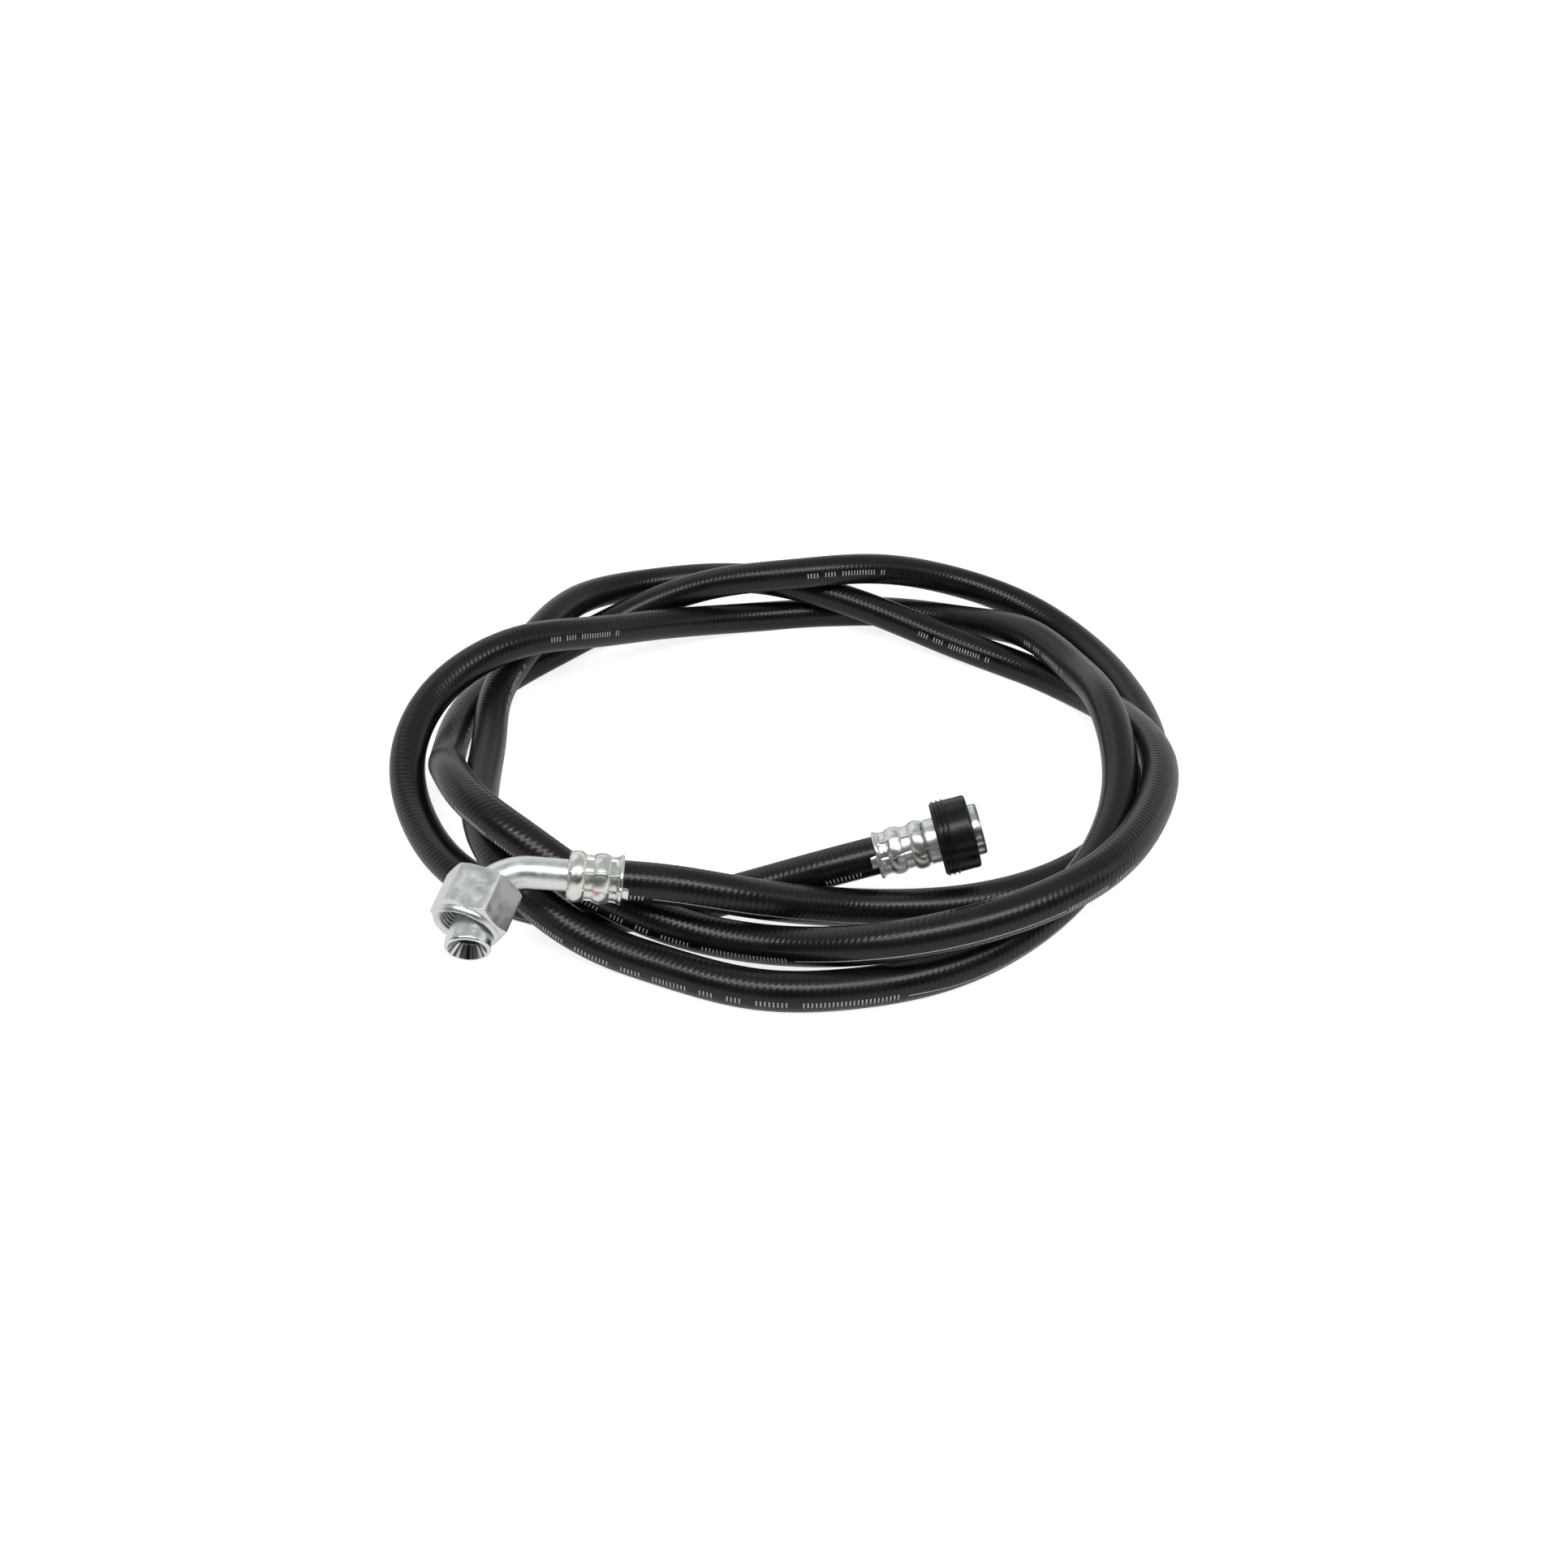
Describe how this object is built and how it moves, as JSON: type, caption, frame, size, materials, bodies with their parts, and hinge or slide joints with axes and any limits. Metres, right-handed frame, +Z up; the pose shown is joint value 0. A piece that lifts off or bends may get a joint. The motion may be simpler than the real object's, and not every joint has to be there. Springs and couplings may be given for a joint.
{
  "type": "hydraulic hose assembly",
  "caption": "Rubber hydraulic hose in three loose loops, with a crimped swept elbow and loose swivel nut on one end and a crimped push-pull coupler with a rubber cap on the other.",
  "frame": {"origin": "on the floor, in the middle of the assembly's plan outline", "axes": "+Z up; +Y away from the viewer who has the elbow at the front left; +X to the right, along the front stretches of hose"},
  "size_m": [0.365, 0.3378, 0.0582],
  "materials": {
    "hose_rubber": "satin black synthetic rubber with a fine wrap texture",
    "liner_rubber": "smooth black synthetic rubber",
    "seal_rubber": "smooth black seal rubber",
    "cap_rubber": "smooth moulded black rubber",
    "steel_wire": "drawn steel wire",
    "zinc_ferrule": "bright zinc plate, crimped",
    "zinc_tube": "bright zinc plate",
    "zinc_nut": "satin zinc plate on milled flats",
    "ball_steel": "polished bearing steel",
    "ptfe": "matt white"
  },
  "bodies": {
    "hose_line": {"hose_cover": "hose_rubber", "hose_wire_braid": "steel_wire", "hose_inner_tube": "liner_rubber", "elbow_ferrule": "zinc_ferrule", "elbow_nipple": "zinc_ferrule", "elbow_bent_tube": "zinc_tube", "elbow_cone_nose": "zinc_tube", "coupler_ferrule": "zinc_ferrule", "coupler_body": "zinc_tube", "coupler_o_ring": "seal_rubber", "coupler_backup_ring": "ptfe", "coupler_stop_ring": "steel_wire", "coupler_spring": "steel_wire", "lock_ball_1": "ball_steel", "lock_ball_2": "ball_steel", "lock_ball_3": "ball_steel", "lock_ball_4": "ball_steel", "lock_ball_5": "ball_steel", "lock_ball_6": "ball_steel", "lock_ball_7": "ball_steel", "lock_ball_8": "ball_steel"},
    "swivel_nut": {"swivel_nut": "zinc_nut"},
    "release_sleeve": {"release_sleeve": "zinc_tube", "coupler_cap": "cap_rubber"}
  },
  "joints": [
    {"name": "nut_spin", "type": "hinge", "parent": "hose_line", "child": "swivel_nut", "pos_m": [-0.11487, -0.13809, 0.04459], "axis": [-0.2732, -0.9084, -0.3166], "continuous": true},
    {"name": "sleeve_slide", "type": "slide", "parent": "hose_line", "child": "release_sleeve", "axis": [0.9629, 0.0758, 0.2588], "range_m": [-0.0035, 0], "stiffness_N_per_m": 2000, "springref_m": 0.0015, "deforming": ["coupler_spring"]}
  ]
}
